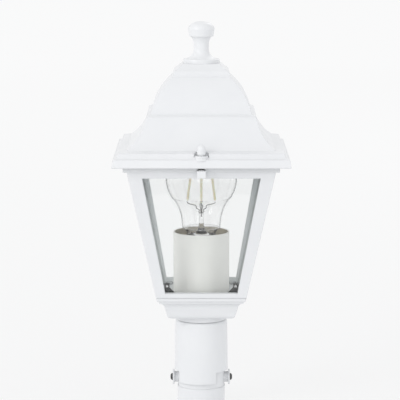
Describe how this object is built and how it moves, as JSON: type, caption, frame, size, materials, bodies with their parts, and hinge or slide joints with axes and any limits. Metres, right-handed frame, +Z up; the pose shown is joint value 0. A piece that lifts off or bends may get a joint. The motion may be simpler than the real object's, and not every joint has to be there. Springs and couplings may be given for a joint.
{
  "type": "post top lantern",
  "caption": "Square tapered post top garden lantern with clear panes, hollow bell roof, finial and screw-in lamp, clamped on the top of a round post.",
  "frame": {"origin": "middle of the post's lower end, where the post goes on downwards", "axes": "+Z up along the post, -Y out of the front with its roof screw, +X to the viewer's right"},
  "size_m": [0.1446, 0.1452, 0.326],
  "materials": {
    "white_paint": "white powder coat, satin with a faint orange peel",
    "stainless": "plain stainless steel",
    "black_steel": "black finished steel screw",
    "zinc_steel": "bright zinc plated steel",
    "grey_paint": "painted sheet steel",
    "pane_glass": "clear float glass with faintly green edges",
    "black_rubber": "black moulded rubber",
    "gasket_foam": "closed cell foam strip",
    "black_nylon": "moulded nylon",
    "phenolic": "dark brown phenolic moulding",
    "putty_sleeve": "light putty grey plastic tube",
    "contact_brass": "plain brass",
    "brown_insulation": "brown lead insulation",
    "blue_insulation": "blue lead insulation",
    "green_insulation": "green lead insulation with a yellow stripe",
    "block_plastic": "natural moulded plastic",
    "cap_metal": "nickel plated thin metal",
    "cap_solder": "soldered contact",
    "cap_glass": "black vitrite insulator",
    "bulb_clear_glass": "clear blown glass",
    "stem_glass": "clear drawn glass",
    "filament_phosphor": "yellow phosphor silicone",
    "support_wire": "dull drawn wire"
  },
  "bodies": {
    "post": {"post_tube": "white_paint", "post_screw_bosses": "white_paint", "clamp_washers": "white_paint"},
    "clamp_screw_right": {"clamp_screw_right": "black_steel"},
    "clamp_screw_left": {"clamp_screw_left": "black_steel"},
    "roof": {"roof": "white_paint", "finial": "white_paint", "finial_stud": "zinc_steel", "finial_washer": "zinc_steel", "finial_nut": "zinc_steel", "roof_screw_washers": "white_paint"},
    "roof_screw_front": {"roof_screw_front": "white_paint", "roof_screw_retainer_front": "black_rubber"},
    "roof_screw_back": {"roof_screw_back": "white_paint", "roof_screw_retainer_back": "black_rubber"},
    "bulb_foot": {"bulb_cap_contact": "cap_solder"},
    "bulb": {"bulb_cap": "cap_metal", "bulb_cap_insulator": "cap_glass", "bulb_glass": "bulb_clear_glass", "bulb_stem": "stem_glass", "bulb_filaments": "filament_phosphor", "bulb_support_wires": "support_wire"},
    "head": {"collar": "white_paint", "base_plinth": "white_paint", "cage_frame": "white_paint", "pane_clip_screws": "stainless", "floor_plate_screws": "stainless", "neck_nipple": "zinc_steel", "neck_nut_lower": "zinc_steel", "neck_nut_upper": "zinc_steel", "neck_lock_washer": "zinc_steel", "lampholder_screws": "zinc_steel", "earth_screw": "zinc_steel", "terminal_block_screws": "zinc_steel", "floor_plate": "grey_paint", "pane_front": "pane_glass", "pane_right": "pane_glass", "pane_back": "pane_glass", "pane_left": "pane_glass", "pane_clips": "black_rubber", "roof_gasket": "gasket_foam", "lead_bushing": "black_nylon", "lampholder_body": "phenolic", "lampholder_sleeve": "putty_sleeve", "lampholder_shell": "contact_brass", "lampholder_centre_contact": "contact_brass", "lampholder_side_contact": "contact_brass", "lampholder_terminals": "contact_brass", "terminal_block_inserts": "contact_brass", "earth_tag": "contact_brass", "lead_live": "brown_insulation", "lead_neutral": "blue_insulation", "lead_earth": "green_insulation", "terminal_block": "block_plastic"}
  },
  "joints": [
    {"name": "head_swivel", "type": "hinge", "parent": "post", "child": "head", "pos_m": [0, 0, 0.0657], "axis": [0, 0, 1], "range_deg": [-19, 41]},
    {"name": "roof_lift", "type": "slide", "parent": "head", "child": "roof", "axis": [0, 0, 1], "range_m": [0, 0.09]},
    {"name": "roof_screw_front_turn", "type": "hinge", "parent": "roof", "child": "roof_screw_front", "pos_m": [0, -0.06699, 0.2222], "axis": [0, 0, 1], "range_deg": [0, 1440]},
    {"name": "roof_screw_back_turn", "type": "hinge", "parent": "roof", "child": "roof_screw_back", "pos_m": [0, 0.06699, 0.2222], "axis": [0, 0, 1], "range_deg": [0, 1440]},
    {"name": "clamp_screw_right_turn", "type": "hinge", "parent": "post", "child": "clamp_screw_right", "pos_m": [0.0242, 0, 0.024], "axis": [1, 0, 0], "range_deg": [0, 720]},
    {"name": "clamp_screw_left_turn", "type": "hinge", "parent": "post", "child": "clamp_screw_left", "pos_m": [-0.0242, 0, 0.024], "axis": [-1, 0, 0], "range_deg": [0, 720]},
    {"name": "bulb_unscrew", "type": "hinge", "parent": "bulb_foot", "child": "bulb", "pos_m": [0, 0, 0.118], "axis": [0, 0, 1], "range_deg": [0, 1800]},
    {"name": "bulb_rise", "type": "slide", "parent": "head", "child": "bulb_foot", "axis": [0, 0, 1], "range_m": [0, 0.0182]}
  ],
  "couplings": [
    {"joint": "bulb_rise", "follows": "bulb_unscrew", "m_per_rad": 0.00057773}
  ]
}
